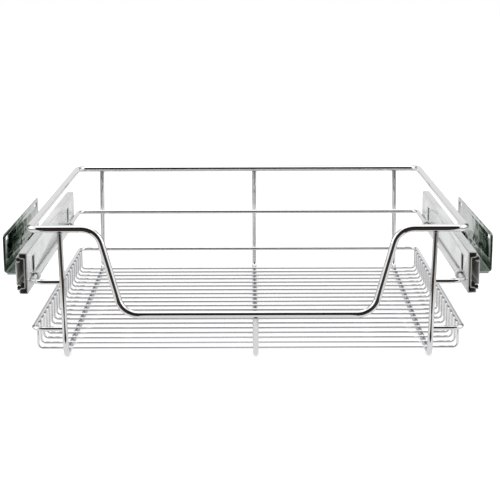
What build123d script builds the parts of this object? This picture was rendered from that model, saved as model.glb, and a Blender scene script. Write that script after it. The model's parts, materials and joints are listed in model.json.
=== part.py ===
"""Pull-out wire basket for a 600 mm kitchen cabinet, hung on two ball-bearing slides.

Frame: X to the right, Y from the front rail into the cabinet, Z up, in millimetres.
The origin is on the floor under the stringers, in the middle of the top rail's rectangle.
"""
from build123d import *
import os
from math import cos, pi, radians, sin, tan

# ---- Basket: sizes to the wires' centre lines --------------------------------------------------
cabinet_opening = 564.0        # clear width between the two cabinet sides
bracket_width = 31.5           # from the cabinet side to the back of the slide
basket_depth = 436.0           # front run to back run of the top rail
rail_height = 144.0            # top rail
middle_wire_height = 84.5      # wire that hangs in the slides' hooks
rim_height = 32.0              # rim wire that ties the floor wires together
dip_height = 49.0              # low run of the top rail, under the hand opening
dip_shoulder = 73.0            # from the top rail's corner to where it starts to dip
dip_slant = 26.0               # how much further in it reaches the low run

rail_diameter = 8.0
middle_wire_diameter = 5.5
rim_wire_diameter = 5.0
stringer_diameter = 6.0
floor_wire_diameter = 2.8
weld_bite = 0.15               # how far two crossing wires are set into each other
cope_gap = 0.02                # between a post's coped top and the rail over it
rail_sides = 16                # flats round the top rail, across which its diameter is measured
wire_sides = 12
floor_wire_sides = 8
rail_bend_steps = 5            # mitres in each bend
wire_bend_steps = 3
floor_wire_bend_steps = 2

rail_corner_radius = 12.0
dip_bend_radius = 22.0
wire_corner_radius = 10.0
stringer_bend_radius = 10.0
floor_wire_bend_radius = 5.0

stringer_inset = 33.0          # side stringers under the top rail, from its corners
stringer_front_lean = 3.5      # how much further in the front post meets the floor run
stringer_back_lean = 2.0       # how much further out the back post meets it
centre_stringer_x = 8.5        # the middle stringer stands a little to the right
post_lap = 2.0                 # how far the open wires reach past the middle of the front posts

floor_wire_count = 20
first_floor_wire = 16.5        # from the front run of the top rail
last_floor_wire = 21.0         # from its back run
floor_wire_rise = 1.8          # how far the upright ends stand over the rim wire's middle

# ---- Ball-bearing slide: three nested rolled rails ---------------------------------------------
slide_height = 45.7
slide_thickness = 12.7
slide_length = 400.0
slide_middle_height = 95.0     # above the floor
slide_front = 0.0              # from the front run of the top rail
basket_sheet = 1.2             # the rail that the basket hangs on
middle_sheet = 1.1
cabinet_sheet = 1.2            # the rail fixed to the bracket
wire_seat_gap = 0.05           # between the middle wire and the basket rail's web
outer_ball_diameter = 4.4      # between the basket rail and the middle rail
inner_ball_diameter = 4.0      # between the middle rail and the cabinet rail
ball_clearance = 0.1           # between a ball and its race
roll_radius = 1.0              # centre-line radius of the bends beside a web
web_gap = 1.6                  # between the basket rail's web and the middle rail's web
outer_ball_in = 6.2            # from the basket rail's web face to its row of balls
basket_lip = 3.0               # lip turned down at the edge of the basket rail's flanges
race_turn = 45.0               # how far a race wraps round its ball

cage_sheet = 0.6
cage_gap = 0.4                 # from a rail's web to the cage's web beside it
cage_drop = 0.3                # the inner cage's flanges lie this far inside its balls' middle
cage_reach = 2.2               # how far a cage reaches past its row of balls
cage_start = 110.0             # from the slide's front end
cage_length = 180.0
cage_hole_clearance = 0.1
balls_per_row = 4
ball_flat = 0.94               # a ball's flats lie this share of its radius from its middle

bumper_length = 8.0            # moulded pads that close the ball gaps at the front
bumper_drop = 1.4              # how far they reach past the cabinet rail's flanges
pad_clearance = 0.02           # between the pads and the middle rail that carries them
running_gap = 0.3              # between a moulding and a rail that slides past it
stop_length = 6.0              # moulded stop in the rear end of the cabinet rail
stop_clearance = 0.05
stop_corner = 1.5

# ---- Hooks lanced out of the basket rail's web -------------------------------------------------
hook_places = (43.0, 336.0)    # from the front run of the top rail
hook_width = 14.0
hook_play = 0.1                # between the hook and the wire
hook_drop = 3.0                # straight stretch beside and below the wire
hook_curl_radius = 2.5
hook_curl_turn = 120.0
slot_side = 1.0                # the slot is wider than its hook by this much at each side
slot_height = 18.0

# ---- Cabinet brackets --------------------------------------------------------------------------
bracket_sheet = 1.5
bracket_bend = 2.0             # inside radius
bracket_bottom = 72.5
bracket_top = 117.0
bracket_start = 102.0          # from the front run of the top rail
bracket_length = 259.0
leg_top = 108.0                # the leg against the cabinet rail
lip_height = 3.5               # lip turned down at the shelf's front edge, with the sheet
plate_corner = 4.0
hole_diameter = 5.5
hole_end = 15.0                # from the plate's ends to the round holes
hole_height = 88.0
slot_end = 22.0                # from the plate's ends to the screw slots
screw_slot_height = 110.0
screw_slot_length = 16.0
screw_slot_width = 5.5
rivet_diameter = 5.0
rivet_head_diameter = 8.5
rivet_head_height = 1.4
rivet_hole_clearance = 0.05
rivet_sides = 8
rivet_places = (45.0, 214.0)   # from the bracket's front end

# ---- Places that follow from the sizes ---------------------------------------------------------
front_y = -basket_depth / 2
back_y = basket_depth / 2
middle_wire_r = middle_wire_diameter / 2
rim_r = rim_wire_diameter / 2
stringer_r = stringer_diameter / 2
floor_wire_r = floor_wire_diameter / 2
bracket_outside = cabinet_opening / 2
leg_x = bracket_outside - bracket_width
slide_x = leg_x - slide_thickness
basket_half_width = slide_x - wire_seat_gap - middle_wire_r
dip_top_half_width = basket_half_width - dip_shoulder
dip_bottom_half_width = dip_top_half_width - dip_slant
stringer_top_x = basket_half_width - stringer_inset
stringer_front_foot_x = stringer_top_x - stringer_front_lean
stringer_back_foot_x = stringer_top_x + stringer_back_lean
stringer_height = stringer_r
floor_wire_height = stringer_height + stringer_r + floor_wire_r - weld_bite
floor_wire_half_width = basket_half_width - rim_r - floor_wire_r + weld_bite
slide_y = front_y + slide_front
bracket_y = front_y + bracket_start
wire_up = middle_wire_height - slide_middle_height
wire_in = slide_x - basket_half_width

# Slide sections are drawn as (distance from the basket rail's web face, height over the middle).
outer_ball_r = outer_ball_diameter / 2
inner_ball_r = inner_ball_diameter / 2
basket_race_r = outer_ball_r + ball_clearance + basket_sheet / 2
middle_outer_race_r = outer_ball_r + ball_clearance + middle_sheet / 2
middle_inner_race_r = inner_ball_r + ball_clearance + middle_sheet / 2
cabinet_race_r = inner_ball_r + ball_clearance + cabinet_sheet / 2
basket_flange_up = (slide_height - basket_sheet) / 2
outer_ball_up = basket_flange_up - basket_race_r
middle_web = basket_sheet + web_gap + middle_sheet / 2
middle_flange_up = outer_ball_up - middle_outer_race_r
ball_step = middle_outer_race_r + middle_inner_race_r
inner_ball_in = outer_ball_in + ball_step * sin(radians(race_turn))
inner_ball_up = outer_ball_up - ball_step * cos(radians(race_turn))
cabinet_web = slide_thickness - cabinet_sheet / 2
cabinet_flange_up = inner_ball_up - cabinet_race_r


# ---- Wire work ---------------------------------------------------------------------------------
def rod_section(diameter, sides):
    """A many-sided rod's section, its flats level, upright and the diameter apart."""
    return RegularPolygon(diameter / 2, sides, major_radius=False, rotation=180 / sides)


def mitred_bend(before, corner, after, radius, steps):
    """The points that turn a corner in equal mitres round an arc of the radius."""
    along = (corner - before).normalized()
    onward = (after - corner).normalized()
    turn = radians(along.get_angle(onward))
    inward = (onward - along * cos(turn)).normalized()
    centre = corner - along * (radius * tan(turn / 2)) + inward * radius
    reach = radius / cos(turn / (2 * steps))
    angles = [turn * (2 * step + 1) / (2 * steps) for step in range(steps)]
    return [centre - inward * (reach * cos(a)) + along * (reach * sin(a)) for a in angles]


def bent_rod(points, bends, diameter, sides=wire_sides, steps=wire_bend_steps):
    """A rod whose middle follows the points, with a bend of its own radius at each inner one."""
    points = [Vector(*point) for point in points]
    route = [points[0]]
    for i, radius in enumerate(bends, start=1):
        route += mitred_bend(points[i - 1], points[i], points[i + 1], radius, steps)
    line = Polyline(*route, points[-1])
    upright = abs((line % 0).Z) > 0.5
    across = (1, 0, 0) if upright else (0, 0, 1)
    section = Plane(origin=line @ 0, x_dir=across, z_dir=line % 0) * rod_section(diameter, sides)
    return sweep(section, path=line, transition=Transition.RIGHT)


def cross_rail(x, y, z, half_length):
    """A straight stretch of the top rail along X, a little thick, to cut posts with."""
    base = Plane(origin=(x - half_length, y, z), x_dir=(0, 1, 0), z_dir=(1, 0, 0))
    section = rod_section(rail_diameter + 2 * cope_gap, rail_sides)
    return extrude(base * section, 2 * half_length)


def top_rail():
    """One closed loop that dips at the front for the hands."""
    w, z, low = basket_half_width, rail_height, dip_height
    points = [
        (0, back_y, z), (w, back_y, z), (w, front_y, z), (dip_top_half_width, front_y, z),
        (dip_bottom_half_width, front_y, low), (0, front_y, low),
    ]
    bends = [rail_corner_radius] * 2 + [dip_bend_radius] * 2
    half = bent_rod(points, bends, rail_diameter, rail_sides, rail_bend_steps)
    return half + mirror(half, Plane.YZ)


def open_loop(height, diameter):
    """A wire round the back and the sides, inside the posts, that ends at the front posts."""
    lean = (stringer_top_x - stringer_front_foot_x) * (1 - height / rail_height)
    end_x = stringer_top_x - lean - post_lap
    inset = stringer_r + diameter / 2 - weld_bite
    w, y0, y1 = basket_half_width, front_y + inset, back_y - inset
    points = [
        (-end_x, y0, height), (-w, y0, height), (-w, y1, height),
        (w, y1, height), (w, y0, height), (end_x, y0, height),
    ]
    return bent_rod(points, [wire_corner_radius] * 4, diameter)


def stringer(points, rails):
    """Front post, floor run and back post in one rod, its tops coped to the rails over them."""
    rod = bent_rod(points, [stringer_bend_radius] * 2, stringer_diameter)
    for x, y, z in rails:
        reach = 2 * stringer_diameter
        over = Pos(x, y, z + reach / 2) * Box(2 * reach, rail_diameter, reach)
        rod -= cross_rail(x, y, z, reach) + over
    return rod


def side_stringer():
    top, foot = rail_height, stringer_height
    points = [
        (stringer_top_x, front_y, top), (stringer_front_foot_x, front_y, foot),
        (stringer_back_foot_x, back_y, foot), (stringer_top_x, back_y, top),
    ]
    return stringer(points, [points[0], points[3]])


def centre_stringer():
    """Its front post ends under the low run of the top rail."""
    x, foot = centre_stringer_x, stringer_height
    points = [
        (x, front_y, dip_height), (x, front_y, foot),
        (x, back_y, foot), (x, back_y, rail_height),
    ]
    return stringer(points, [points[0], points[3]])


def floor_wires():
    """Equal wires over the stringers, bent up at both ends to stand inside the rim wire."""
    w, low, top = floor_wire_half_width, floor_wire_height, rim_height + floor_wire_rise
    ends = [(-w, 0, top), (-w, 0, low), (w, 0, low), (w, 0, top)]
    bends = [floor_wire_bend_radius] * 2
    wire = bent_rod(
        ends, bends, floor_wire_diameter, floor_wire_sides, floor_wire_bend_steps
    )
    pitch = (basket_depth - first_floor_wire - last_floor_wire) / (floor_wire_count - 1)
    places = [front_y + first_floor_wire + i * pitch for i in range(floor_wire_count)]
    return Compound(children=[Pos(0, y, 0) * wire for y in places])


# ---- Slides, drawn for the right side -----------------------------------------------------------
def along_slide(section, start, length):
    """A slide section run along Y, from start behind the slide's front end."""
    place = Plane(
        origin=(slide_x, slide_y + start, slide_middle_height), x_dir=(1, 0, 0), z_dir=(0, -1, 0)
    )
    return extrude(place * section, amount=-length)


def band(half_line, thickness):
    """A sheet of the thickness on a section line, drawn for the upper half and mirrored."""
    line = Curve() + half_line
    return trace(Wire((line + mirror(line, Plane.XZ)).edges()), thickness)


def web_and_flange(web, flange_up, flange_end, side=1):
    """Half a channel: up the web, round its bend and along the flange."""
    bend = web + side * roll_radius
    start = 180 if side > 0 else 0
    return [
        Line((web, 0), (web, flange_up - roll_radius)),
        CenterArc((bend, flange_up - roll_radius), roll_radius, start, -90 * side),
        Line((bend, flange_up), (flange_end, flange_up)),
    ]


def basket_rail_line():
    """Its lip stands beside the outer balls."""
    lip = outer_ball_in + basket_race_r
    bend = (lip - roll_radius, basket_flange_up - roll_radius)
    half = web_and_flange(basket_sheet / 2, basket_flange_up, bend[0])
    turn = CenterArc(bend, roll_radius, 90, -90)
    return half + [turn, Line((lip, bend[1]), (lip, basket_flange_up - basket_lip))]


def middle_rail_line():
    """Its flange bends round the outer balls from below, then round the inner ones from above."""
    outer = CenterArc((outer_ball_in, outer_ball_up), middle_outer_race_r, -90, race_turn)
    inner = CenterArc(
        (inner_ball_in, inner_ball_up), middle_inner_race_r, 90 + race_turn, -2 * race_turn
    )
    return web_and_flange(middle_web, middle_flange_up, outer_ball_in) + [outer, inner]


def cabinet_rail_line():
    race = CenterArc((inner_ball_in, inner_ball_up), cabinet_race_r, -90, -race_turn)
    return web_and_flange(cabinet_web, cabinet_flange_up, inner_ball_in, side=-1) + [race]


def hook(place):
    """A tongue bent over the wire, down its far side and back under it in a curl."""
    round_r = middle_wire_r + hook_play + basket_sheet / 2
    out = -wire_in - round_r
    curl = (out + hook_curl_radius, wire_up - hook_drop)
    line = Curve() + [
        Line((basket_sheet / 2, wire_up + round_r), (-wire_in, wire_up + round_r)),
        CenterArc((-wire_in, wire_up), round_r, 90, 90),
        Line((out, wire_up), (out, wire_up - hook_drop)),
        CenterArc(curl, hook_curl_radius, 180, hook_curl_turn),
    ]
    start = place - slide_front - hook_width / 2
    return along_slide(trace(Wire(line.edges()), basket_sheet), start, hook_width)


def hook_slot(place):
    """The window that the tongue leaves in the web, above the wire."""
    bottom = wire_up + middle_wire_r + hook_play + basket_sheet
    middle_z = slide_middle_height + bottom + slot_height / 2
    window = Box(3 * basket_sheet, hook_width + 2 * slot_side, slot_height)
    return Pos(slide_x, front_y + place, middle_z) * window


def basket_rail():
    rail = along_slide(band(basket_rail_line(), basket_sheet), 0, slide_length)
    for place in hook_places:
        rail = rail - hook_slot(place) + hook(place)
    return rail


def middle_rail():
    end = slide_length - stop_length - running_gap
    return along_slide(band(middle_rail_line(), middle_sheet), 0, end)


def slab(near, far, low, high):
    """A rectangle of a slide section between two distances and two heights."""
    return Pos((near + far) / 2, (low + high) / 2) * Rectangle(far - near, high - low)


def front_bumper():
    """Four moulded pads on the middle rail's front end, one in each ball gap."""
    lift = middle_sheet / 2 + pad_clearance
    race_side = (cabinet_race_r + cabinet_sheet / 2) * sin(radians(race_turn))
    above = (basket_sheet + running_gap, outer_ball_in,
             middle_flange_up + lift, basket_flange_up - basket_sheet / 2 - running_gap)
    beside = (middle_web + lift, inner_ball_in - race_side - running_gap,
              cabinet_flange_up - bumper_drop, middle_flange_up - lift)
    over = (middle_web + lift, inner_ball_in,
            inner_ball_up - inner_ball_r / 2, middle_flange_up - lift)
    outer = RegularPolygon(outer_ball_r + ball_clearance - running_gap, 8)
    inner = RegularPolygon(inner_ball_r + ball_clearance - running_gap, 8)
    outer_pad = slab(*above) + Pos(outer_ball_in, outer_ball_up) * outer
    inner_pad = slab(*beside) + slab(*over) + Pos(inner_ball_in, inner_ball_up) * inner
    inner_pad -= band(middle_rail_line(), middle_sheet + 2 * pad_clearance)
    pads = [along_slide(pad, 0, bumper_length) for pad in (outer_pad, inner_pad)]
    middle = Plane.XY.offset(slide_middle_height)
    return Compound(children=pads + [mirror(pad, middle) for pad in pads])


def cabinet_rail():
    rail = along_slide(band(cabinet_rail_line(), cabinet_sheet), 0, slide_length)
    return rail - rivet_holes()


def rear_stop():
    """A moulded block between the cabinet rail's flanges, across the middle rail's rear end."""
    near, far = middle_web - middle_sheet / 2, cabinet_web - cabinet_sheet / 2 - stop_clearance
    half = cabinet_flange_up - cabinet_sheet / 2 - stop_clearance
    face = Pos((near + far) / 2, 0) * RectangleRounded(far - near, 2 * half, stop_corner)
    return along_slide(face, slide_length - stop_length, stop_length)


def cage(web, ball_in, flange_up, ball_up, ball_r):
    """A sheet channel between two rails, with a hole round each ball."""
    strip = band(web_and_flange(web, flange_up, ball_in + cage_reach), cage_sheet)
    solid = along_slide(strip, cage_start, cage_length)
    height = 2 * (ball_up + ball_r)
    window = RegularPolygon(ball_r + cage_hole_clearance, 8, major_radius=False)
    hole = extrude(window, height / 2, both=True)
    for y in ball_places():
        solid -= Pos(slide_x + ball_in, y, slide_middle_height) * hole
    return solid


def outer_ball_cage():
    web = basket_sheet + cage_gap + cage_sheet / 2
    return cage(web, outer_ball_in, outer_ball_up, outer_ball_up, outer_ball_r)


def inner_ball_cage():
    web = middle_web + middle_sheet / 2 + cage_gap + cage_sheet / 2
    return cage(web, inner_ball_in, inner_ball_up - cage_drop, inner_ball_up, inner_ball_r)


def ball_places():
    pitch = cage_length / balls_per_row
    return [slide_y + cage_start + (i + 0.5) * pitch for i in range(balls_per_row)]


def ball(radius):
    """A ball with 26 flats, which are enough for its size."""
    side = 2 * radius * ball_flat
    block = Box(side, side, side)
    return chamfer(block.edges(), side * (1 - tan(pi / 8)) / 2)


def balls(ball_in, ball_up, ball_r):
    rows = (slide_middle_height + ball_up, slide_middle_height - ball_up)
    places = [(slide_x + ball_in, y, z) for z in rows for y in ball_places()]
    one = ball(ball_r)
    return Compound(children=[Pos(*place) * one for place in places])


def outer_balls():
    return balls(outer_ball_in, outer_ball_up, outer_ball_r)


def inner_balls():
    return balls(inner_ball_in, inner_ball_up, inner_ball_r)


# ---- Cabinet brackets, drawn for the right side -------------------------------------------------
def across(y, z, diameter, x0, x1):
    """A round cutter or pin along X between two places."""
    base = Plane(origin=(x0, y, z), z_dir=(1, 0, 0))
    return extrude(base * Circle(diameter / 2), x1 - x0)


def bracket_ends(inset):
    return (bracket_y + inset, bracket_y + bracket_length - inset)


def rivet_shape(place, diameter, x0, x1):
    """A many-sided stretch of rivet along X, at a place along the bracket."""
    y = bracket_y + place
    base = Plane(origin=(x0, y, slide_middle_height), x_dir=(0, 1, 0), z_dir=(1, 0, 0))
    return extrude(base * RegularPolygon(diameter / 2, rivet_sides), x1 - x0)


def rivet_holes():
    reach = slide_thickness / 4
    hole = rivet_diameter + 2 * rivet_hole_clearance
    return [rivet_shape(place, hole, leg_x - reach, leg_x + reach) for place in rivet_places]


def bracket():
    """A trough of sheet: a leg on the cabinet rail, a shelf and the plate on the cabinet side."""
    half = bracket_sheet / 2
    line = FilletPolyline(
        (leg_x + half, leg_top), (leg_x + half, bracket_bottom + half),
        (bracket_outside - half, bracket_bottom + half), (bracket_outside - half, bracket_top),
        radius=bracket_bend + half,
    )
    place = Plane(origin=(0, bracket_y, 0), x_dir=(1, 0, 0), z_dir=(0, -1, 0))
    solid = extrude(place * trace(Wire(line.edges()), bracket_sheet), amount=-bracket_length)
    corners = solid.edges().filter_by(Axis.X).filter_by(
        lambda edge: edge.center().Z > leg_top - half
    )
    solid = fillet(corners, plate_corner)

    bend = bracket_bend + bracket_sheet
    width = bracket_outside - leg_x - 2 * bend
    lip = Box(width, bracket_sheet, lip_height)
    shelf_top = bracket_bottom + bracket_sheet
    solid += Pos(leg_x + bend + width / 2, bracket_y + half, shelf_top - lip_height / 2) * lip

    through = (bracket_outside - 3 * bracket_sheet, bracket_outside + bracket_sheet)
    for y in bracket_ends(hole_end):
        solid -= across(y, hole_height, hole_diameter, *through)
    for y in bracket_ends(slot_end):
        plane = Plane(origin=(through[0], y, screw_slot_height), x_dir=(0, 1, 0), z_dir=(1, 0, 0))
        slot = SlotOverall(screw_slot_length, screw_slot_width)
        solid -= extrude(plane * slot, through[1] - through[0])
    return solid - rivet_holes()


def bracket_rivets():
    """Rivets through the cabinet rail's web and the bracket's leg, a head at each side."""
    inside, outside = leg_x - cabinet_sheet, leg_x + bracket_sheet
    rivets = []
    for place in rivet_places:
        near = rivet_shape(place, rivet_head_diameter, inside - rivet_head_height, inside)
        far = rivet_shape(place, rivet_head_diameter, outside, outside + rivet_head_height)
        shank = rivet_shape(place, rivet_diameter, inside, outside)
        near = chamfer(near.faces().sort_by(Axis.X)[0].edges(), rivet_head_height * 0.6)
        far = chamfer(far.faces().sort_by(Axis.X)[-1].edges(), rivet_head_height * 0.6)
        rivets.append(near + shank + far)
    return Compound(children=rivets)


# ---- The pieces, each to its own file -----------------------------------------------------------
single_pieces = {
    "top_rail": top_rail(),
    "middle_wire": open_loop(middle_wire_height, middle_wire_diameter),
    "rim_wire": open_loop(rim_height, rim_wire_diameter),
    "centre_stringer": centre_stringer(),
    "floor_wires": floor_wires(),
}
paired_pieces = {
    "side_stringer": side_stringer(),
    "basket_rail": basket_rail(),
    "middle_rail": middle_rail(),
    "cabinet_rail": cabinet_rail(),
    "outer_ball_cage": outer_ball_cage(),
    "outer_balls": outer_balls(),
    "inner_ball_cage": inner_ball_cage(),
    "inner_balls": inner_balls(),
    "front_bumper": front_bumper(),
    "rear_stop": rear_stop(),
    "bracket": bracket(),
    "bracket_rivets": bracket_rivets(),
}

os.makedirs("parts", exist_ok=True)
for name, piece in single_pieces.items():
    export_step(piece, f"parts/{name}.step")
for name, piece in paired_pieces.items():
    export_step(piece, f"parts/right_{name}.step")
    export_step(mirror(piece, Plane.YZ), f"parts/left_{name}.step")
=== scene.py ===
import json
from math import pi, radians, tan

import bpy
from mathutils import Matrix, Vector

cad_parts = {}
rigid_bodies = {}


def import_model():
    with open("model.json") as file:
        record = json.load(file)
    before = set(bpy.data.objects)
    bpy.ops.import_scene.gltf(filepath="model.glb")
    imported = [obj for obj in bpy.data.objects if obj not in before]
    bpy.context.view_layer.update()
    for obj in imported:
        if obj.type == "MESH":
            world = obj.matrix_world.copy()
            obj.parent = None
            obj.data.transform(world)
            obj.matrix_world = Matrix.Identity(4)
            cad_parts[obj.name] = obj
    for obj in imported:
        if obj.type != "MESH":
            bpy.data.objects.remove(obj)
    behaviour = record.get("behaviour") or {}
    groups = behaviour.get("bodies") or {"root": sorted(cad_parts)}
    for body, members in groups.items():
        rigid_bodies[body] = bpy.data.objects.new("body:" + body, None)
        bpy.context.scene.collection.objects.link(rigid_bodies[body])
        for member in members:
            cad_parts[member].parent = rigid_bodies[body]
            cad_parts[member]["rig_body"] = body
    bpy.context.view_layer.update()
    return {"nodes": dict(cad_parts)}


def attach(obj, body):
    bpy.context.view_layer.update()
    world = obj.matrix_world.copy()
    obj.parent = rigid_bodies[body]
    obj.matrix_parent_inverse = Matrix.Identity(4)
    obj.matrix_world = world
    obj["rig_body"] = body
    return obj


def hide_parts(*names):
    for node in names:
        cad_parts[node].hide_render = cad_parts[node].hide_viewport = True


# Pull-out wire basket on two ball-bearing slides. X to the right, Y into the cabinet, Z up.
# The pieces' dictionaries hold millimetres, and mm turns them into Blender's metres.
# The room and its lamps are in metres.
mm = 0.001
mergeGap = 0.002    # points nearer than this become one
sides = {"left": -1, "right": 1}

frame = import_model()


# ways of working with the mesh operators

def pickNothing():
    if bpy.context.mode != "OBJECT":
        bpy.ops.object.mode_set(mode="OBJECT")
    bpy.ops.object.select_all(action="DESELECT")


def pickOnly(piece):
    pickNothing()
    piece.select_set(True)
    bpy.context.view_layer.objects.active = piece


def settle(piece, name, smoothAngle=40):
    # its place goes into the mesh, doubles are merged and faces turned outwards
    pickOnly(piece)
    piece.name = piece.data.name = name
    bpy.ops.object.transform_apply(location=True, rotation=True, scale=True)
    bpy.ops.object.mode_set(mode="EDIT")
    bpy.ops.mesh.select_all(action="SELECT")
    bpy.ops.mesh.remove_doubles(threshold=mergeGap * mm)
    bpy.ops.mesh.normals_make_consistent(inside=False)
    bpy.ops.object.mode_set(mode="OBJECT")
    bpy.ops.object.shade_smooth_by_angle(angle=radians(smoothAngle))
    return piece


def joinAll(pieces, name):
    pickNothing()
    for piece in pieces:
        piece.select_set(True)
    bpy.context.view_layer.objects.active = pieces[0]
    if len(pieces) > 1:
        bpy.ops.object.join()
    joined = bpy.context.object
    joined.name = joined.data.name = name
    return joined


def copyTo(piece, offset):
    # a copy with its own mesh, moved by an offset in metres
    twin = piece.copy()
    twin.data = piece.data.copy()
    bpy.context.scene.collection.objects.link(twin)
    twin.data.transform(Matrix.Translation(Vector(offset)))
    return twin


def wear(piece, material, body, slot, *nodes):
    piece.data.materials.clear()
    piece.data.materials.append(material)
    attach(piece, body)
    if nodes:
        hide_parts(*nodes)
    return piece


# materials

def feed(tree, socket, value):
    # a socket takes a number as it is and another socket by a link
    if isinstance(value, (int, float)):
        socket.default_value = value
    else:
        tree.links.new(value, socket)


def mathNode(tree, operation, *values):
    node = tree.nodes.new("ShaderNodeMath")
    node.operation = operation
    for socket, value in zip(node.inputs, values):
        feed(tree, socket, value)
    return node.outputs[0]


def noiseNode(tree, place, scale, detail):
    noise = tree.nodes.new("ShaderNodeTexNoise")
    noise.inputs["Detail"].default_value = detail
    tree.links.new(place, noise.inputs["Vector"])
    feed(tree, noise.inputs["Scale"], scale)
    return noise.outputs["Fac"]


def fillRamp(node, stops):
    # a ramp starts with two stops, and the others come in between
    elements = node.color_ramp.elements
    for element, (position, colour) in zip(elements, (stops[0], stops[-1])):
        element.position, element.color = position, (*colour, 1)
    for position, colour in stops[1:-1]:
        elements.new(position).color = (*colour, 1)


def nodeGroup(name, inputs, outputs):
    group = bpy.data.node_groups.new(name, "ShaderNodeTree")
    for label, default in inputs:
        socket = group.interface.new_socket(label, in_out="INPUT", socket_type="NodeSocketFloat")
        socket.default_value = default
    for label in outputs:
        group.interface.new_socket(label, in_out="OUTPUT", socket_type="NodeSocketFloat")
    return group, group.nodes.new("NodeGroupInput"), group.nodes.new("NodeGroupOutput")


def makeHandling():
    # soft smears and fine rubs left by hands and packing
    group, given, result = nodeGroup(
        "handlingMarks",
        [("Smear Scale", 40.0), ("Rub Scale", 900.0), ("Base", 0.08), ("Amount", 0.08)],
        ["Roughness", "Height"],
    )
    values, place = given.outputs, group.nodes.new("ShaderNodeTexCoord").outputs["Object"]
    smear = noiseNode(group, place, values["Smear Scale"], detail=3.0)
    rub = noiseNode(group, place, values["Rub Scale"], detail=2.0)
    both = mathNode(group, "MULTIPLY", smear, rub)
    rough = mathNode(group, "MULTIPLY_ADD", both, values["Amount"], values["Base"])
    group.links.new(rough, result.inputs["Roughness"])
    group.links.new(both, result.inputs["Height"])
    return group


def makeRolledGrain():
    # lines that the rolling mill leaves along Y, with faint cloudy plating
    group, given, result = nodeGroup(
        "rolledGrain",
        [("Base", 0.2), ("Amount", 0.15), ("Fineness", 700.0)],
        ["Roughness", "Height", "Tone"],
    )
    values, place = given.outputs, group.nodes.new("ShaderNodeTexCoord").outputs["Object"]
    stretch = group.nodes.new("ShaderNodeMapping")
    stretch.inputs["Scale"].default_value = (1.0, 0.02, 1.0)    # drawn out along Y
    group.links.new(place, stretch.inputs["Vector"])
    lines = noiseNode(group, stretch.outputs["Vector"], values["Fineness"], detail=4.0)
    clouds = noiseNode(group, place, scale=22.0, detail=5.0)
    rough = mathNode(group, "MULTIPLY_ADD", lines, values["Amount"], values["Base"])
    for value, label in ((rough, "Roughness"), (lines, "Height"), (clouds, "Tone")):
        group.links.new(value, result.inputs[label])
    return group


handling = makeHandling()
rolledGrain = makeRolledGrain()


def newMaterial(name, colour, metallic):
    material = bpy.data.materials.new(name)
    material.use_nodes = True
    shader = material.node_tree.nodes["Principled BSDF"]
    shader.inputs["Base Color"].default_value = (*colour, 1)
    shader.inputs["Metallic"].default_value = metallic
    return material, shader


def addGroup(material, group, values):
    node = material.node_tree.nodes.new("ShaderNodeGroup")
    node.node_tree = group
    for label, value in values.items():
        node.inputs[label].default_value = value
    return node


def addBump(material, height, shader, depth, strength):
    bump = material.node_tree.nodes.new("ShaderNodeBump")
    bump.inputs["Distance"].default_value = depth * mm
    bump.inputs["Strength"].default_value = strength
    material.node_tree.links.new(height, bump.inputs["Height"])
    material.node_tree.links.new(bump.outputs["Normal"], shader.inputs["Normal"])
    return bump


def addWaves(material, bump, scale, depth):
    # slow unevenness of drawn wire and rolled sheet, under the fine marks
    tree = material.node_tree
    place, swell = tree.nodes.new("ShaderNodeTexCoord"), tree.nodes.new("ShaderNodeBump")
    waves = noiseNode(tree, place.outputs["Object"], scale, detail=1.0)
    swell.inputs["Distance"].default_value = depth * mm
    tree.links.new(waves, swell.inputs["Height"])
    tree.links.new(swell.outputs["Normal"], bump.inputs["Normal"])


def tintBy(material, mask, shader, dark, light):
    # the colour runs between two tones with the mask
    ramp = material.node_tree.nodes.new("ShaderNodeValToRGB")
    fillRamp(ramp, [(0.35, dark), (0.65, light)])
    material.node_tree.links.new(mask, ramp.inputs["Fac"])
    material.node_tree.links.new(ramp.outputs["Color"], shader.inputs["Base Color"])


def platedMetal(name, values):
    # bright metal with handling marks
    material, shader = newMaterial(name, values["light"], 1.0)
    marks = addGroup(material, handling, {
        "Smear Scale": values["smear"], "Rub Scale": values["rub"],
        "Base": values["rough"], "Amount": values["spread"],
    })
    material.node_tree.links.new(marks.outputs["Roughness"], shader.inputs["Roughness"])
    bump = addBump(material, marks.outputs["Height"], shader, values["depth"], values["bump"])
    addWaves(material, bump, values["waves"], values["swell"])
    tintBy(material, marks.outputs["Height"], shader, values["dark"], values["light"])
    return material


def rolledMetal(name, values):
    # sheet with the mill's lines, zinc plated or oiled
    material, shader = newMaterial(name, values["light"], values["metallic"])
    grain = addGroup(material, rolledGrain, {
        "Base": values["rough"], "Amount": values["spread"], "Fineness": values["fine"],
    })
    material.node_tree.links.new(grain.outputs["Roughness"], shader.inputs["Roughness"])
    bump = addBump(material, grain.outputs["Height"], shader, values["depth"], values["bump"])
    addWaves(material, bump, values["waves"], values["swell"])
    tintBy(material, grain.outputs["Tone"], shader, values["dark"], values["light"])
    return material


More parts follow.
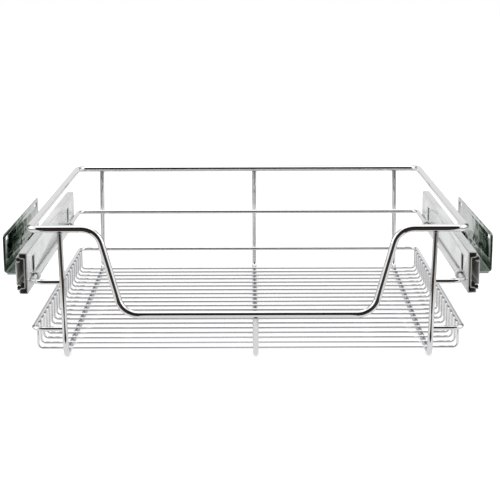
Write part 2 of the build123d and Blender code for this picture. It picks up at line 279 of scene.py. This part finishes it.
chromeWire = platedMetal("chromeWire", {
    "light": (0.90, 0.90, 0.91), "dark": (0.80, 0.80, 0.81), "rough": 0.03, "spread": 0.10,
    "smear": 35.0, "rub": 600.0, "depth": 0.02, "bump": 0.5, "waves": 30.0, "swell": 0.35,
})
weldMetal = platedMetal("weldMetal", {
    "light": (0.56, 0.58, 0.62), "dark": (0.34, 0.36, 0.40), "rough": 0.12, "spread": 0.25,
    "smear": 300.0, "rub": 1400.0, "depth": 0.05, "bump": 0.8, "waves": 300.0, "swell": 0.1,
})
zincSteel = rolledMetal("zincSteel", {
    "light": (0.91, 0.93, 0.915), "dark": (0.86, 0.885, 0.87), "rough": 0.17, "spread": 0.12,
    "metallic": 0.7, "fine": 500.0, "depth": 0.006, "bump": 0.3, "waves": 12.0, "swell": 0.9,
})
oiledSteel = rolledMetal("oiledSteel", {
    "light": (0.74, 0.75, 0.71), "dark": (0.60, 0.61, 0.57), "rough": 0.24, "spread": 0.25,
    "metallic": 0.72, "fine": 400.0, "depth": 0.02, "bump": 0.4, "waves": 14.0, "swell": 0.5,
})
mirrorSteel = platedMetal("mirrorSteel", {
    "light": (0.45, 0.50, 0.46), "dark": (0.29, 0.34, 0.30), "rough": 0.04, "spread": 0.10,
    "smear": 28.0, "rub": 300.0, "depth": 0.1, "bump": 0.6, "waves": 42.0, "swell": 1.4,
})
ballSteel = platedMetal("ballSteel", {
    "light": (0.82, 0.82, 0.82), "dark": (0.74, 0.74, 0.75), "rough": 0.05, "spread": 0.05,
    "smear": 200.0, "rub": 900.0, "depth": 0.005, "bump": 0.2, "waves": 200.0, "swell": 0.0,
})


def mouldedPlastic(name, values):
    # matt plastic with the mould's fine texture
    material, shader = newMaterial(name, values["base"], 0.0)
    shader.inputs["Specular IOR Level"].default_value = values["specular"]
    marks = addGroup(material, handling, {
        "Smear Scale": values["smear"], "Rub Scale": values["rub"],
        "Base": values["rough"], "Amount": values["spread"],
    })
    material.node_tree.links.new(marks.outputs["Roughness"], shader.inputs["Roughness"])
    addBump(material, marks.outputs["Height"], shader, values["depth"], values["bump"])
    tintBy(material, marks.outputs["Height"], shader, values["dark"], values["light"])
    return material


blackPlastic = mouldedPlastic("blackPlastic", {
    "base": (0.009, 0.009, 0.010), "light": (0.014, 0.014, 0.015), "dark": (0.006, 0.006, 0.007),
    "rough": 0.34, "spread": 0.3, "specular": 0.45,
    "smear": 60.0, "rub": 1800.0, "depth": 0.06, "bump": 0.6,
})
print("materials: %d" % len(bpy.data.materials))


# wires: a circle is run along the straights and spun round the bends

wireWork = {"ring": 28, "bendSteps": 10, "guard": 0.8, "endEase": 0.3, "easeSteps": 2}


def drawOut(run):
    bpy.ops.mesh.extrude_region_move(TRANSFORM_OT_translate={"value": run})


def layWire(name, points, bend, diameter, closed=False, ring=wireWork["ring"],
            bendSteps=wireWork["bendSteps"]):
    corners = [Vector(point) * mm for point in points]
    bends = bend if isinstance(bend, list) else [bend] * (len(corners) - 2)
    heading = (corners[1] - corners[0]).normalized()
    pickNothing()
    bpy.ops.mesh.primitive_circle_add(
        vertices=ring, radius=diameter * mm / 2, fill_type="NOTHING",
        location=corners[0], rotation=heading.to_track_quat("Z", "Y").to_euler())
    wire = bpy.context.object
    bpy.ops.object.transform_apply(location=True, rotation=True, scale=True)
    bpy.ops.object.mode_set(mode="EDIT")
    bpy.ops.mesh.select_all(action="SELECT")
    # a short ring beside each bend and end keeps the gloss of the straights straight
    at, guard = corners[0], wireWork["guard"] * mm
    if not closed:
        drawOut(heading * guard)
        at = at + heading * guard
    for before, corner, after, radius in zip(corners, corners[1:], corners[2:], bends):
        along, onward = (corner - before).normalized(), (after - corner).normalized()
        turn, axis = along.angle(onward), along.cross(onward).normalized()
        tangent = radius * mm * tan(turn / 2)
        bendStart = corner - along * tangent
        drawOut(bendStart - along * guard - at)
        drawOut(along * guard)
        bpy.ops.mesh.spin(steps=max(3, round(bendSteps * turn / (pi / 2))), angle=-turn,
                          center=bendStart + axis.cross(along) * radius * mm, axis=axis)
        drawOut(onward * guard)
        at = corner + onward * (tangent + guard)
    if closed:
        drawOut(corners[-1] - at)
    else:
        drawOut(corners[-1] - onward * guard - at)
        drawOut(onward * guard)
        capEnds()
    return settle(wire, name)


def capEnds():
    # the two open rings get a flat end with a broken edge
    bpy.ops.mesh.select_all(action="DESELECT")
    bpy.ops.mesh.select_mode(type="EDGE")
    bpy.ops.mesh.select_non_manifold()
    bpy.ops.mesh.edge_face_add()
    bpy.ops.mesh.bevel(offset=wireWork["endEase"] * mm, segments=wireWork["easeSteps"],
                       affect="EDGES")
    bpy.ops.mesh.select_mode(type="VERT")


def wearChrome(piece, node):
    wear(piece, chromeWire, "basket", "chrome_wire", node)


basket = {
    "halfWidth": 235.0, "front": -218.0, "back": 218.0, "top": 144.0, "low": 49.0, "wire": 8.0,
    "dipTop": 162.0, "dipBottom": 136.0, "cornerBend": 12.0, "dipBend": 22.0, "ring": 36,
}


def makeTopRail(size):
    # from the middle of the back to the right, round the front with its dip, and back again
    w, y0, y1, z = size["halfWidth"], size["front"], size["back"], size["top"]
    a, b, low = size["dipTop"], size["dipBottom"], size["low"]
    points = [(0, y1, z), (w, y1, z), (w, y0, z), (a, y0, z), (b, y0, low),
              (-b, y0, low), (-a, y0, z), (-w, y0, z), (-w, y1, z), (0, y1, z)]
    corner, dip = size["cornerBend"], size["dipBend"]
    bends = [corner, corner, dip, dip, dip, dip, corner, corner]
    return layWire("topRailWire", points, bends, size["wire"], closed=True, ring=size["ring"])


wearChrome(makeTopRail(basket), "top_rail")

hangingWire = {"height": 84.5, "endX": 198.55, "inset": 5.6, "bend": 10.0, "wire": 5.5}
rimWire = {"height": 32.0, "endX": 197.28, "inset": 5.35, "bend": 10.0, "wire": 5.0}


def makeOpenLoop(name, size):
    # round the back and the sides, ending at the two front posts
    w, z, end = basket["halfWidth"], size["height"], size["endX"]
    y0, y1 = basket["front"] + size["inset"], basket["back"] - size["inset"]
    points = [(-end, y0, z), (-w, y0, z), (-w, y1, z), (w, y1, z), (w, y0, z), (end, y0, z)]
    return layWire(name, points, size["bend"], size["wire"])


wearChrome(makeOpenLoop("hangingWire", hangingWire), "middle_wire")
wearChrome(makeOpenLoop("rimWire", rimWire), "rim_wire")

stringers = {
    "topX": 202.0, "frontX": 198.5, "backX": 204.0, "centreX": 8.5,
    "low": 3.0, "tuck": 1.0, "bend": 10.0, "wire": 6.0,
}


def stringerPoints(side, size):
    # down the front post, back under the floor and up the back post
    front, back, low = basket["front"], basket["back"], size["low"]
    high = basket["top"] - size["tuck"]
    if side == "centre":
        x, underDip = size["centreX"], basket["low"] - size["tuck"]
        return [(x, front, underDip), (x, front, low), (x, back, low), (x, back, high)]
    sign = sides[side]
    top, foot, heel = sign * size["topX"], sign * size["frontX"], sign * size["backX"]
    return [(top, front, high), (foot, front, low), (heel, back, low), (top, back, high)]


stringerNodes = {
    "left": "left_side_stringer", "centre": "centre_stringer", "right": "right_side_stringer",
}
for side, node in stringerNodes.items():
    points = stringerPoints(side, stringers)
    wearChrome(layWire(side + "Stringer", points, stringers["bend"], stringers["wire"]), node)

floorGrid = {
    "halfWidth": 231.25, "low": 7.25, "top": 33.8, "bend": 5.0, "wire": 2.8,
    "count": 20, "first": 16.5, "last": 415.0, "ring": 18, "bendSteps": 8,
}
floorPitch = (floorGrid["last"] - floorGrid["first"]) / (floorGrid["count"] - 1)


def makeFloorWires(size):
    w, low, top = size["halfWidth"], size["low"], size["top"]
    y = basket["front"] + size["first"]
    points = [(-w, y, top), (-w, y, low), (w, y, low), (w, y, top)]
    first = layWire("floorWire", points, size["bend"], size["wire"],
                    ring=size["ring"], bendSteps=size["bendSteps"])
    copies = [copyTo(first, (0, i * floorPitch * mm, 0)) for i in range(1, size["count"])]
    return joinAll([first] + copies, "floorWires")


wearChrome(makeFloorWires(floorGrid), "floor_wires")
print("wires laid")

# welds: a small squashed bead where two wires cross, a low collar where a post meets the rail

welds = {"bead": 2.0, "squash": 0.55, "collar": 3.8, "flat": 0.5, "sink": 0.6, "cuts": 3}


def makeRound(name, radius, cuts, flat=1.0):
    # a divided cube blown up to a ball, brought to its radius and squashed
    pickNothing()
    bpy.ops.mesh.primitive_cube_add(size=2 * radius * mm)
    ball = bpy.context.object
    bpy.ops.object.mode_set(mode="EDIT")
    bpy.ops.mesh.select_all(action="SELECT")
    bpy.ops.mesh.subdivide(number_cuts=cuts)
    bpy.ops.transform.tosphere(value=1.0)
    bpy.ops.object.mode_set(mode="OBJECT")
    fit = radius * mm / ball.data.vertices[0].co.length
    ball.scale = (fit, fit, fit * flat)
    return settle(ball, name, smoothAngle=80)


def between(start, end, share):
    return start + (end - start) * share


def crossings():
    top, foot, heel, centre = [stringers[key] for key in ("topX", "frontX", "backX", "centreX")]
    front, back = basket["front"], basket["back"]
    height = stringers["low"] + stringers["wire"] / 2
    rimInside = basket["halfWidth"] - rimWire["wire"] / 2
    places = []
    for i in range(floorGrid["count"]):
        y = front + floorGrid["first"] + i * floorPitch
        under = between(foot, heel, (y - front) / (back - front))
        places += [(x, y, height) for x in (centre, under, -under)]
        places += [(x, y, rimWire["height"]) for x in (-rimInside, rimInside)]
    for size in (hangingWire, rimWire):
        z = size["height"]
        down, out = 1 - z / basket["top"], size["inset"] - size["wire"] / 2
        frontPost, backPost = between(top, foot, down), between(top, heel, down)
        places += [(x, front + out, z) for x in (frontPost, -frontPost)]
        places += [(x, back - out, z) for x in (centre, backPost, -backPost)]
    return places


def postTops():
    front, back = basket["front"], basket["back"]
    centre, top = stringers["centreX"], stringers["topX"]
    drop = basket["wire"] / 2 - welds["sink"]
    high, low = basket["top"] - drop, basket["low"] - drop
    places = [(x, y, high) for x in (-top, top) for y in (front, back)]
    return places + [(centre, back, high), (centre, front, low)]


def setOut(piece, places):
    # copies at the places, and the first one is thrown away
    copies = [copyTo(piece, Vector(place) * mm) for place in places]
    bpy.data.objects.remove(piece)
    return copies


beads = setOut(makeRound("bead", welds["bead"], welds["cuts"], welds["squash"]), crossings())
beads += setOut(makeRound("collar", welds["collar"], welds["cuts"], welds["flat"]), postTops())
wear(joinAll(beads, "weldBeads"), weldMetal, "basket", "chrome_wire")
print("welds: %d" % len(beads))


# sheet and moulded pieces: the frame's own forms, merged, with eased edges

sheetEdge = {"flat": 0.6, "corner": 40, "smooth": 32, "steps": 2}    # angles in degrees


def dressNode(node, name, material, slot, ease):
    source = frame["nodes"][node]
    pickNothing()
    piece = bpy.data.objects.new(name, source.data.copy())
    bpy.context.scene.collection.objects.link(piece)
    pickOnly(piece)
    bpy.ops.object.mode_set(mode="EDIT")
    bpy.ops.mesh.select_all(action="SELECT")
    bpy.ops.mesh.remove_doubles(threshold=mergeGap * mm)
    bpy.ops.mesh.dissolve_limited(angle_limit=radians(sheetEdge["flat"]))
    bpy.ops.object.mode_set(mode="OBJECT")
    bevel = piece.modifiers.new("easedEdges", "BEVEL")
    bevel.width = ease * mm
    bevel.segments = sheetEdge["steps"]
    bevel.limit_method = "ANGLE"
    bevel.angle_limit = radians(sheetEdge["corner"])
    bpy.ops.object.modifier_apply(modifier=bevel.name)
    bpy.ops.object.shade_smooth_by_angle(angle=radians(sheetEdge["smooth"]))
    return wear(piece, material, source["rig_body"], slot, node)


# each node's piece, finish, slot and eased edge
sheetWork = {
    "basket_rail": ("basketRail", zincSteel, "zinc_steel", 0.2),
    "middle_rail": ("middleRail", oiledSteel, "zinc_steel", 0.2),
    "cabinet_rail": ("cabinetRail", zincSteel, "zinc_steel", 0.2),
    "outer_ball_cage": ("outerCage", blackPlastic, "black_plastic", 0.1),
    "inner_ball_cage": ("innerCage", blackPlastic, "black_plastic", 0.1),
    "front_bumper": ("bumper", blackPlastic, "black_plastic", 0.2),
    "rear_stop": ("rearStop", blackPlastic, "black_plastic", 0.3),
    "bracket": ("bracket", mirrorSteel, "mirror_steel", 0.25),
}
for side in sides:
    for node, (name, material, slot, ease) in sheetWork.items():
        dressNode(side + "_" + node, side + name[0].upper() + name[1:], material, slot, ease)
print("slides and brackets dressed")

ballRows = {
    "outer": {"radius": 2.2, "in": 6.2, "up": 19.35},
    "inner": {"radius": 2.0, "in": 10.089, "up": 15.461},
    "webX": 237.8, "middleZ": 95.0, "alongY": (-85.5, -40.5, 4.5, 49.5), "cuts": 7,
}


def makeBalls(side, row):
    size = ballRows[row]
    x, z = sides[side] * (ballRows["webX"] + size["in"]), ballRows["middleZ"]
    places = [(x, y, z + up) for up in (size["up"], -size["up"]) for y in ballRows["alongY"]]
    copies = setOut(makeRound("ball", size["radius"], ballRows["cuts"]), places)
    balls = joinAll(copies, side + row.capitalize() + "Balls")
    body, node = "%s_%s_balls_and_cage" % (side, row), "%s_%s_balls" % (side, row)
    return wear(balls, ballSteel, body, "ball_steel", node)


rivets = {
    "head": 8.5, "headHeight": 1.4, "shank": 5.0, "dome": 0.85, "domeSteps": 5, "z": 95.0,
    "alongY": (-71.0, 98.0), "inside": 249.3, "outside": 252.0, "headRing": 36, "shankRing": 24,
}


def makeRivetHead(x, outward):
    # a low drum whose outer rim is rounded over
    pickNothing()
    height = rivets["headHeight"]
    bpy.ops.mesh.primitive_cylinder_add(
        vertices=rivets["headRing"], radius=rivets["head"] * mm / 2, depth=height * mm,
        location=((x + outward * height / 2) * mm, 0, 0), rotation=(0, outward * pi / 2, 0))
    head = bpy.context.object
    bpy.ops.object.mode_set(mode="EDIT")
    bpy.ops.mesh.select_mode(type="FACE")
    bpy.ops.mesh.select_all(action="DESELECT")
    bpy.ops.object.mode_set(mode="OBJECT")
    for face in head.data.polygons:
        face.select = face.normal.z > 0.9    # the drum's outer end
    bpy.ops.object.mode_set(mode="EDIT")
    bpy.ops.mesh.region_to_loop()
    bpy.ops.mesh.bevel(offset=rivets["dome"] * mm, segments=rivets["domeSteps"], affect="EDGES")
    bpy.ops.mesh.select_mode(type="VERT")
    bpy.ops.object.mode_set(mode="OBJECT")
    return head


def makeRivets(side):
    sign, inside, outside = sides[side], rivets["inside"], rivets["outside"]
    pieces = []
    for y in rivets["alongY"]:
        heads = [makeRivetHead(sign * inside, -sign), makeRivetHead(sign * outside, sign)]
        pickNothing()
        bpy.ops.mesh.primitive_cylinder_add(
            vertices=rivets["shankRing"], radius=rivets["shank"] * mm / 2,
            depth=(outside - inside) * mm,
            location=(sign * (inside + outside) / 2 * mm, 0, 0), rotation=(0, pi / 2, 0))
        for piece in heads + [bpy.context.object]:
            piece.location.y, piece.location.z = y * mm, rivets["z"] * mm
            pieces.append(piece)
    name = side + "Rivets"
    riveted = settle(joinAll(pieces, name), name)
    return wear(riveted, zincSteel, "cabinet_side", "zinc_steel", side + "_bracket_rivets")


for side in sides:
    for row in ("outer", "inner"):
        makeBalls(side, row)
    makeRivets(side)
print("balls and rivets made")


# room: a white floor and world, and painted dark reflections of a wall and ground in front that
# only gloss shows

def shadeTree(name):
    material = bpy.data.materials.new(name)
    material.use_nodes = True
    material.node_tree.nodes.clear()
    return material, material.node_tree


def easedStep(tree, value, edge, ends=(0.0, 1.0)):
    # runs smoothly from the first end to the second while the value crosses the edge
    node = tree.nodes.new("ShaderNodeMapRange")
    node.interpolation_type = "SMOOTHSTEP"
    node.inputs["From Min"].default_value, node.inputs["From Max"].default_value = edge
    node.inputs["To Min"].default_value, node.inputs["To Max"].default_value = ends
    tree.links.new(value, node.inputs["Value"])
    return node.outputs["Result"]


def product(tree, first, *others):
    for other in others:
        first = mathNode(tree, "MULTIPLY", first, other)
    return first


def mixShaders(tree, share, first, second):
    mix = tree.nodes.new("ShaderNodeMixShader")
    for socket, value in zip(mix.inputs, (share, first, second)):
        tree.links.new(value, socket)
    return mix.outputs[0]


paper = {
    "size": 14, "middle": 2.0, "tone": (0.86, 0.86, 0.87), "glow": 0.35,
    "gloss": 0.84, "sideGloss": 0.34, "sideEdge": (0.40, 0.62),
    "shade": 0.42, "shadeSide": (0.27, 0.21), "shadeFront": (-0.19, -0.13),
    "shadeBack": (0.24, 0.18),
}


def makeFloor():
    pickNothing()
    middle = paper["middle"]
    bpy.ops.mesh.primitive_plane_add(size=paper["size"], location=(0, middle, 0))
    floor = bpy.context.object
    floor.name = "studioFloor"
    material, tree = shadeTree("paleFloor")
    new, link = tree.nodes.new, tree.links.new
    diffuse, glow = new("ShaderNodeBsdfDiffuse"), new("ShaderNodeEmission")
    diffuse.inputs["Color"].default_value = (*paper["tone"], 1)
    path = new("ShaderNodeLightPath").outputs
    bright = mathNode(tree, "MULTIPLY", path["Is Camera Ray"], paper["glow"])
    link(bright, glow.inputs["Strength"])
    both = new("ShaderNodeAddShader")
    link(diffuse.outputs[0], both.inputs[0])
    link(glow.outputs[0], both.inputs[1])
    # in the metal the paper is a painted reflection, white near the basket and falling off to
    # grey at its sides
    place, split = new("ShaderNodeTexCoord"), new("ShaderNodeSeparateXYZ")
    link(place.outputs["Object"], split.inputs[0])
    across, along = mathNode(tree, "ABSOLUTE", split.outputs["X"]), split.outputs["Y"]
    paintedFalloff = easedStep(tree, across, paper["sideEdge"], (paper["gloss"], paper["sideGloss"]))
    # and greyer right under the basket, where the wires shade it
    shade = product(
        tree, easedStep(tree, across, paper["shadeSide"]),
        easedStep(tree, along, [y - middle for y in paper["shadeFront"]]),
        easedStep(tree, along, [y - middle for y in paper["shadeBack"]]))
    left = mathNode(tree, "MULTIPLY_ADD", shade, -paper["shade"], 1.0)
    # the painted reflection of the paper glows at this level for gloss rays only
    paintedShine = new("ShaderNodeEmission")
    link(product(tree, left, paintedFalloff), paintedShine.inputs["Strength"])
    surface = mixShaders(tree, path["Is Glossy Ray"], both.outputs[0], paintedShine.outputs[0])
    link(surface, new("ShaderNodeOutputMaterial").inputs["Surface"])
    floor.data.materials.append(material)


def hangCard(name, corners, tone):
    # a painted reflection: a card that the camera and the light don't see, and the metal does
    pickNothing()
    bpy.ops.mesh.primitive_plane_add(size=1)
    card = bpy.context.object
    card.name = name
    for point, corner in zip(card.data.vertices, corners):
        point.co = corner
    material, tree = shadeTree(name + "Tone")
    out, glow = tree.nodes.new("ShaderNodeOutputMaterial"), tree.nodes.new("ShaderNodeEmission")
    glow.inputs["Color"].default_value = (*tone, 1)
    tree.links.new(glow.outputs[0], out.inputs["Surface"])
    card.data.materials.append(material)
    card.visible_camera = card.visible_diffuse = card.visible_shadow = False
    card.visible_transmission = card.visible_volume_scatter = False


# tones and places of the painted dark reflections, standing for the unlit room in front
paintedDarkReflections = {
    "wallY": -2.2, "wallHalfWidth": 1.95, "wallTop": 3.4, "wallReflectionTone": (0.018, 0.015, 0.013),
    "mouthY": -0.40, "mouthHalfWidth": 0.26, "groundTone": (0.050, 0.039, 0.031),
    "postX": (0.125, 0.25), "postY": (-0.43, -0.28), "lift": 0.001,
}


def hangPaintedReflections(size):
    wide, far, high, lift = size["wallHalfWidth"], size["wallY"], size["wallTop"], size["lift"]
    # painted dark reflection of a wall in front of the basket
    wall = [(x, far, z) for z in (0, high) for x in (-wide, wide)]
    hangCard("paintedWallReflection", wall, size["wallReflectionTone"])
    # the painted dark ground narrows towards the basket
    near, mouth = size["mouthY"], size["mouthHalfWidth"]
    ground = [(x, y, lift) for y, half in ((far, wide), (near, mouth)) for x in (-half, half)]
    hangCard("darkGround", ground, size["groundTone"])
    # painted dark reflection patches in front of the side posts, for a dark band down the posts
    for side, sign in sides.items():    # and comes nearer in front of each side post
        patch = [(sign * x, y, lift) for y in size["postY"] for x in size["postX"]]
        hangCard(side + "Ground", patch, size["groundTone"])


# the world's white light, and the painted reflections that only the metal shows
whiteRoom = {
    "light": 0.85, "rings": ((0.70, 1.0), (0.77, 0.50), (0.91, 0.50), (0.97, 0.84)),
    "paintedCornerShade": 0.18, "deepBack": (0.42, 0.52), "deepSide": (0.40, 0.50), "deepLow": (0.66, 0.52),
}


def makeWorld():
    # white all round; in the metal a painted reflection makes the back wall a little grey, with a
    # darker ring round it
    world = bpy.data.worlds.new("studioRoom")
    bpy.context.scene.world = world
    world.use_nodes = True
    tree = world.node_tree
    tree.nodes.clear()
    new, link = tree.nodes.new, tree.links.new
    place, split, rings = (new("ShaderNodeTexCoord"), new("ShaderNodeSeparateXYZ"),
                           new("ShaderNodeValToRGB"))
    link(place.outputs["Generated"], split.inputs[0])
    fillRamp(rings, [(position, [tone] * 3) for position, tone in whiteRoom["rings"]])
    link(split.outputs["Y"], rings.inputs["Fac"])
    # painted dark reflections: two dark corners at the back, low down, give the wires a dark edge
    # from every side
    corner = product(
        tree, easedStep(tree, split.outputs["Y"], whiteRoom["deepBack"]),
        easedStep(tree, mathNode(tree, "ABSOLUTE", split.outputs["X"]), whiteRoom["deepSide"]),
        easedStep(tree, mathNode(tree, "ABSOLUTE", split.outputs["Z"]), whiteRoom["deepLow"]))
    darker = new("ShaderNodeMix")
    darker.data_type, darker.blend_type = "RGBA", "MULTIPLY"
    darker.inputs["B"].default_value = (*[whiteRoom["paintedCornerShade"]] * 3, 1)
    link(corner, darker.inputs["Factor"])
    link(rings.outputs["Color"], darker.inputs["A"])
    seen, lit, mirrored = (new("ShaderNodeBackground"), new("ShaderNodeBackground"),
                           new("ShaderNodeBackground"))
    seen.inputs["Color"].default_value = lit.inputs["Color"].default_value = (1, 1, 1, 1)
    lit.inputs["Strength"].default_value = whiteRoom["light"]
    link(darker.outputs["Result"], mirrored.inputs["Color"])
    path = new("ShaderNodeLightPath").outputs
    unseen = mixShaders(tree, path["Is Glossy Ray"], lit.outputs[0], mirrored.outputs[0])
    surface = mixShaders(tree, path["Is Camera Ray"], unseen, seen.outputs[0])
    link(surface, new("ShaderNodeOutputWorld").inputs["Surface"])


lamps = {
    "overhead": {"at": (0.0, 0.1, 1.6), "size": (1.6, 1.0), "power": 6.0},
    "leftSide": {"at": (-1.7, -0.3, 0.9), "size": (1.0, 1.2), "power": 5.0},
    "rightSide": {"at": (1.7, -0.3, 0.9), "size": (1.0, 1.2), "power": 5.0},
}
lampTarget = Vector((0, 0, 0.07))


def hangLamp(name, at, size, power):
    light = bpy.data.lights.new(name, "AREA")
    light.shape = "RECTANGLE"
    light.size, light.size_y = size
    light.energy = power
    lamp = bpy.data.objects.new(name, light)
    lamp.location = at
    lamp.rotation_euler = (lampTarget - Vector(at)).to_track_quat("-Z", "Y").to_euler()
    bpy.context.scene.collection.objects.link(lamp)


makeFloor()
makeWorld()
hangPaintedReflections(paintedDarkReflections)
for name, lamp in lamps.items():
    hangLamp(name, **lamp)

# place and lens in millimetres, turns in degrees, clip in metres
viewpoint = {
    "at": (2.77, -1656.4, 423.4), "pitch": 11.893, "yaw": -0.011, "roll": 0.168, "lens": 98.37,
    "clip": (0.05, 60),
}


def setCamera(size):
    camera = bpy.data.objects.new("camera", bpy.data.cameras.new("camera"))
    bpy.context.scene.collection.objects.link(camera)
    camera.data.lens = size["lens"]
    camera.data.clip_start, camera.data.clip_end = size["clip"]
    turn = (Matrix.Rotation(radians(-size["yaw"]), 4, "Z")
            @ Matrix.Rotation(radians(90 - size["pitch"]), 4, "X")
            @ Matrix.Rotation(radians(-size["roll"]), 4, "Z"))
    camera.matrix_world = Matrix.Translation(Vector(size["at"]) * mm) @ turn
    bpy.context.scene.camera = camera


setCamera(viewpoint)
bpy.context.scene.view_settings.view_transform = "Standard"
print("room, lamps and camera set")
